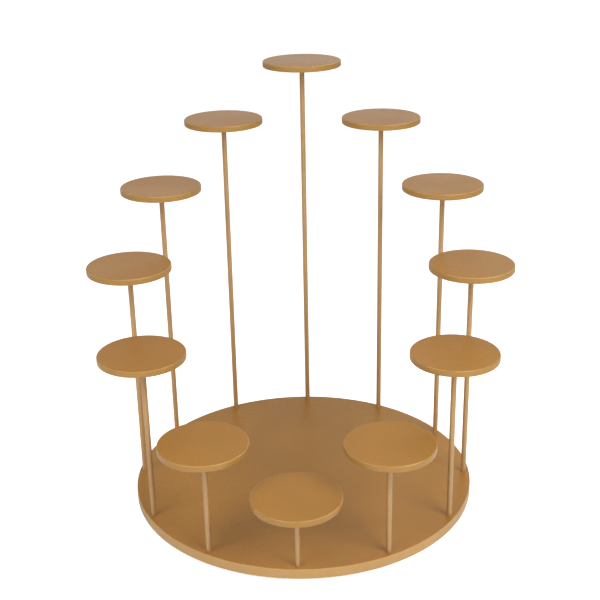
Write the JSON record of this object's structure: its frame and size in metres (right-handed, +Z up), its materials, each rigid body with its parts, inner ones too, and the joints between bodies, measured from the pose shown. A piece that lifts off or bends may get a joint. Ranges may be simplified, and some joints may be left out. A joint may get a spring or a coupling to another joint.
{
  "type": "cake stand",
  "caption": "Round base with a ring of slim upright rods, each topped by a small round plate; the plates step up from the front to the back around a free middle.",
  "frame": {"origin": "on the floor plane under the middle of the base", "axes": "+Z up; the lowest plate is at the front, at -Y, and the tallest at the back, at +Y; +X is to the right seen from the front"},
  "size_m": [0.482, 0.482, 0.477],
  "materials": {
    "gold_board": "wood-fibre board under a satin metallic gold lacquer",
    "gold_rod": "steel rod under the same satin gold lacquer",
    "brass": "turned brass",
    "steel": "zinc-plated steel",
    "rubber": "matt black rubber"
  },
  "bodies": {
    "stand": {"base_board": "gold_board", "rubber_feet": "rubber", "base_screws": "steel", "rod_01": "gold_rod", "rod_02": "gold_rod", "rod_03": "gold_rod", "rod_04": "gold_rod", "rod_05": "gold_rod", "rod_06": "gold_rod", "rod_07": "gold_rod", "rod_08": "gold_rod", "rod_09": "gold_rod", "rod_10": "gold_rod", "rod_11": "gold_rod", "rod_12": "gold_rod"},
    "lift_01": {"stud_01": "steel"},
    "turn_01": {"plate_01": "gold_board", "insert_01": "brass"},
    "lift_02": {"stud_02": "steel"},
    "turn_02": {"plate_02": "gold_board", "insert_02": "brass"},
    "lift_03": {"stud_03": "steel"},
    "turn_03": {"plate_03": "gold_board", "insert_03": "brass"},
    "lift_04": {"stud_04": "steel"},
    "turn_04": {"plate_04": "gold_board", "insert_04": "brass"},
    "lift_05": {"stud_05": "steel"},
    "turn_05": {"plate_05": "gold_board", "insert_05": "brass"},
    "lift_06": {"stud_06": "steel"},
    "turn_06": {"plate_06": "gold_board", "insert_06": "brass"},
    "lift_07": {"stud_07": "steel"},
    "turn_07": {"plate_07": "gold_board", "insert_07": "brass"},
    "lift_08": {"stud_08": "steel"},
    "turn_08": {"plate_08": "gold_board", "insert_08": "brass"},
    "lift_09": {"stud_09": "steel"},
    "turn_09": {"plate_09": "gold_board", "insert_09": "brass"},
    "lift_10": {"stud_10": "steel"},
    "turn_10": {"plate_10": "gold_board", "insert_10": "brass"},
    "lift_11": {"stud_11": "steel"},
    "turn_11": {"plate_11": "gold_board", "insert_11": "brass"},
    "lift_12": {"stud_12": "steel"},
    "turn_12": {"plate_12": "gold_board", "insert_12": "brass"}
  },
  "joints": [
    {"name": "plate_01_rise", "type": "slide", "parent": "stand", "child": "lift_01", "axis": [0, 0, 1], "range_m": [0, 0.006]},
    {"name": "plate_01_turn", "type": "hinge", "parent": "lift_01", "child": "turn_01", "pos_m": [0, -0.193, 0.093], "axis": [0, 0, 1], "range_deg": [0, 3060]},
    {"name": "plate_02_rise", "type": "slide", "parent": "stand", "child": "lift_02", "axis": [0, 0, 1], "range_m": [0, 0.006]},
    {"name": "plate_02_turn", "type": "hinge", "parent": "lift_02", "child": "turn_02", "pos_m": [-0.0965, -0.16714, 0.14], "axis": [0, 0, 1], "range_deg": [0, 3060]},
    {"name": "plate_03_rise", "type": "slide", "parent": "stand", "child": "lift_03", "axis": [0, 0, 1], "range_m": [0, 0.006]},
    {"name": "plate_03_turn", "type": "hinge", "parent": "lift_03", "child": "turn_03", "pos_m": [0.0965, -0.16714, 0.14], "axis": [0, 0, 1], "range_deg": [0, 3060]},
    {"name": "plate_04_rise", "type": "slide", "parent": "stand", "child": "lift_04", "axis": [0, 0, 1], "range_m": [0, 0.006]},
    {"name": "plate_04_turn", "type": "hinge", "parent": "lift_04", "child": "turn_04", "pos_m": [-0.16714, -0.0965, 0.21], "axis": [0, 0, 1], "range_deg": [0, 3060]},
    {"name": "plate_05_rise", "type": "slide", "parent": "stand", "child": "lift_05", "axis": [0, 0, 1], "range_m": [0, 0.006]},
    {"name": "plate_05_turn", "type": "hinge", "parent": "lift_05", "child": "turn_05", "pos_m": [0.16714, -0.0965, 0.21], "axis": [0, 0, 1], "range_deg": [0, 3060]},
    {"name": "plate_06_rise", "type": "slide", "parent": "stand", "child": "lift_06", "axis": [0, 0, 1], "range_m": [0, 0.006]},
    {"name": "plate_06_turn", "type": "hinge", "parent": "lift_06", "child": "turn_06", "pos_m": [-0.193, 0, 0.275], "axis": [0, 0, 1], "range_deg": [0, 3060]},
    {"name": "plate_07_rise", "type": "slide", "parent": "stand", "child": "lift_07", "axis": [0, 0, 1], "range_m": [0, 0.006]},
    {"name": "plate_07_turn", "type": "hinge", "parent": "lift_07", "child": "turn_07", "pos_m": [0.193, 0, 0.275], "axis": [0, 0, 1], "range_deg": [0, 3060]},
    {"name": "plate_08_rise", "type": "slide", "parent": "stand", "child": "lift_08", "axis": [0, 0, 1], "range_m": [0, 0.006]},
    {"name": "plate_08_turn", "type": "hinge", "parent": "lift_08", "child": "turn_08", "pos_m": [-0.16714, 0.0965, 0.34], "axis": [0, 0, 1], "range_deg": [0, 3060]},
    {"name": "plate_09_rise", "type": "slide", "parent": "stand", "child": "lift_09", "axis": [0, 0, 1], "range_m": [0, 0.006]},
    {"name": "plate_09_turn", "type": "hinge", "parent": "lift_09", "child": "turn_09", "pos_m": [0.16714, 0.0965, 0.34], "axis": [0, 0, 1], "range_deg": [0, 3060]},
    {"name": "plate_10_rise", "type": "slide", "parent": "stand", "child": "lift_10", "axis": [0, 0, 1], "range_m": [0, 0.006]},
    {"name": "plate_10_turn", "type": "hinge", "parent": "lift_10", "child": "turn_10", "pos_m": [-0.0965, 0.16714, 0.405], "axis": [0, 0, 1], "range_deg": [0, 3060]},
    {"name": "plate_11_rise", "type": "slide", "parent": "stand", "child": "lift_11", "axis": [0, 0, 1], "range_m": [0, 0.006]},
    {"name": "plate_11_turn", "type": "hinge", "parent": "lift_11", "child": "turn_11", "pos_m": [0.0965, 0.16714, 0.405], "axis": [0, 0, 1], "range_deg": [0, 3060]},
    {"name": "plate_12_rise", "type": "slide", "parent": "stand", "child": "lift_12", "axis": [0, 0, 1], "range_m": [0, 0.006]},
    {"name": "plate_12_turn", "type": "hinge", "parent": "lift_12", "child": "turn_12", "pos_m": [0, 0.193, 0.47], "axis": [0, 0, 1], "range_deg": [0, 3060]}
  ],
  "couplings": [
    {"joint": "plate_01_rise", "follows": "plate_01_turn", "m_per_rad": 0.00011141},
    {"joint": "plate_02_rise", "follows": "plate_02_turn", "m_per_rad": 0.00011141},
    {"joint": "plate_03_rise", "follows": "plate_03_turn", "m_per_rad": 0.00011141},
    {"joint": "plate_04_rise", "follows": "plate_04_turn", "m_per_rad": 0.00011141},
    {"joint": "plate_05_rise", "follows": "plate_05_turn", "m_per_rad": 0.00011141},
    {"joint": "plate_06_rise", "follows": "plate_06_turn", "m_per_rad": 0.00011141},
    {"joint": "plate_07_rise", "follows": "plate_07_turn", "m_per_rad": 0.00011141},
    {"joint": "plate_08_rise", "follows": "plate_08_turn", "m_per_rad": 0.00011141},
    {"joint": "plate_09_rise", "follows": "plate_09_turn", "m_per_rad": 0.00011141},
    {"joint": "plate_10_rise", "follows": "plate_10_turn", "m_per_rad": 0.00011141},
    {"joint": "plate_11_rise", "follows": "plate_11_turn", "m_per_rad": 0.00011141},
    {"joint": "plate_12_rise", "follows": "plate_12_turn", "m_per_rad": 0.00011141}
  ]
}
